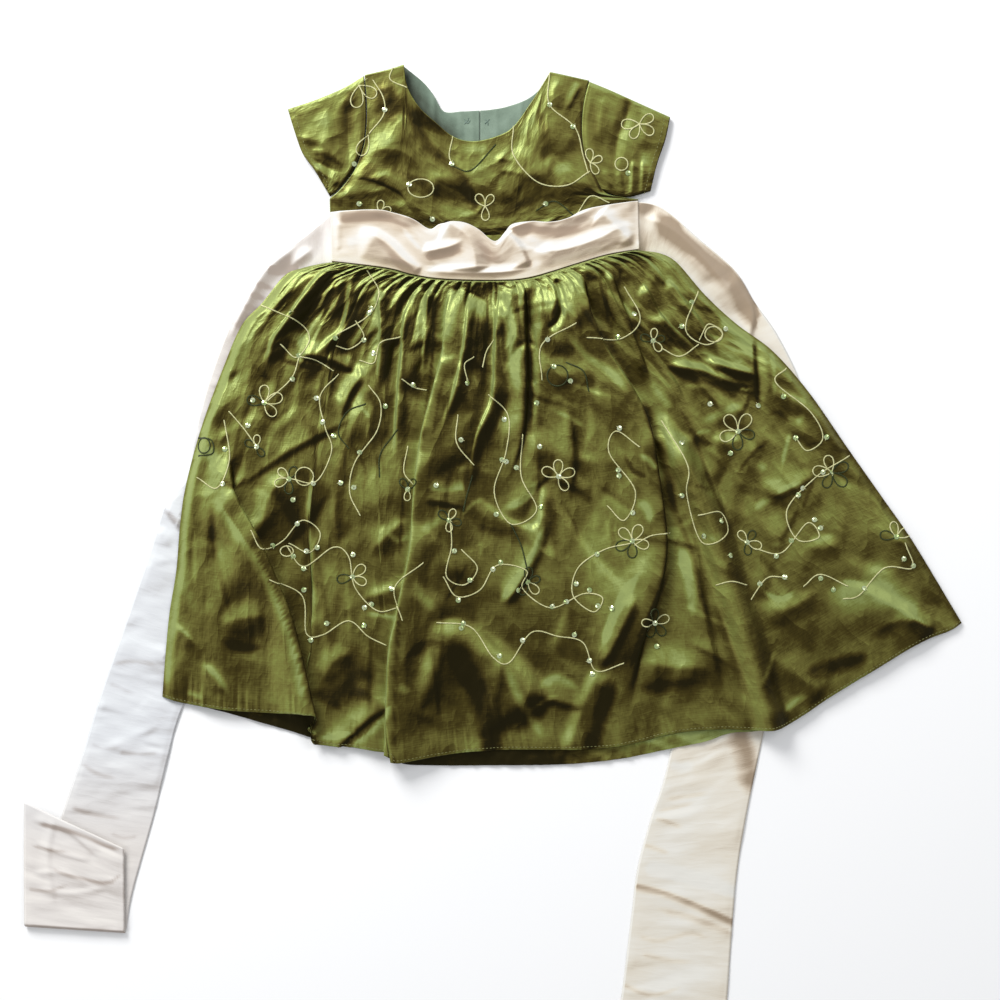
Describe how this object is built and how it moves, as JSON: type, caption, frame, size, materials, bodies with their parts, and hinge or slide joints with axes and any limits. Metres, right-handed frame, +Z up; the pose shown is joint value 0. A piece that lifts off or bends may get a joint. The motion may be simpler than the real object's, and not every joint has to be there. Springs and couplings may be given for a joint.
{
  "type": "embroidered dress",
  "caption": "Small child's party dress laid flat: round neck, cap sleeves, gathered skirt, satin sash across the waist and long ties that run under the skirt.",
  "frame": {"origin": "middle of the underside's outline, on the surface that the dress lies on", "axes": "+Z up, out of the front of the dress; +Y towards the neck; +X towards the right of the picture, the wearer's left"},
  "size_m": [0.73, 0.7628, 0.0181],
  "materials": {
    "green_taffeta": "shot taffeta, olive green with a brown cast and a bright yellow-green sheen, crisp creases",
    "cream_satin": "cream satin with a soft sheen, creased",
    "back_lining": "grey-green smooth lining",
    "embroidery_thread": "cream and dark green chain stitch in lustrous thread",
    "sequins": "small pale green iridescent sequins"
  },
  "bodies": {
    "root": {"bodice_front": "green_taffeta", "bodice_back_left": "green_taffeta", "bodice_back_right": "green_taffeta", "back_lining_left": "back_lining", "back_lining_right": "back_lining", "sleeve_left": "green_taffeta", "sleeve_right": "green_taffeta", "sash_front": "cream_satin", "tie_left": "cream_satin", "tie_right": "cream_satin", "skirt_front": "green_taffeta", "skirt_back": "green_taffeta"}
  },
  "joints": []
}
